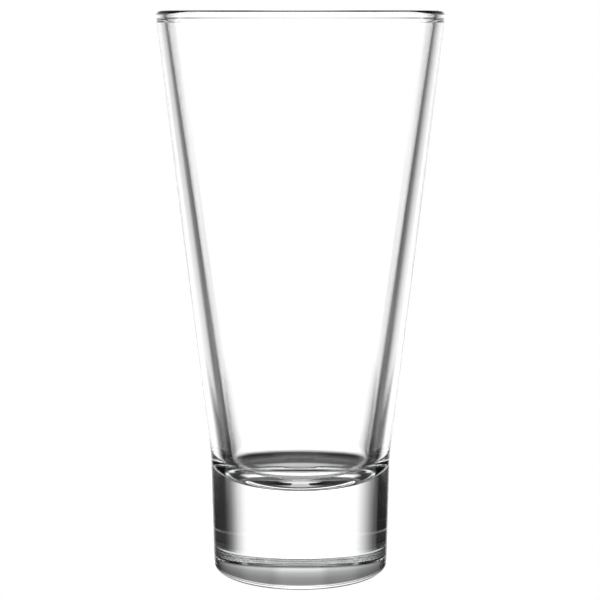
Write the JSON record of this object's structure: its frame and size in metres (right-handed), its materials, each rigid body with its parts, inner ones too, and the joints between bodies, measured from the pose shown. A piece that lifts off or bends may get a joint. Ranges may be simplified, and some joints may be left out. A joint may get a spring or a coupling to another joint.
{
  "type": "pint glass",
  "caption": "Tall clear conical beer glass: a tapering bowl on a short solid foot with a rounded heel and a fire-polished lip.",
  "frame": {"origin": "centre of the flat ring that the glass stands on", "axes": "+Z is the glass's own axis, from the foot to the mouth; the shape is the same all round it"},
  "size_m": [0.0892, 0.0892, 0.177],
  "materials": {
    "clear_glass": "clear pressed soda-lime glass, fire polished, with faint mould waves"
  },
  "bodies": {
    "root": {"glass_body": "clear_glass"}
  },
  "joints": []
}
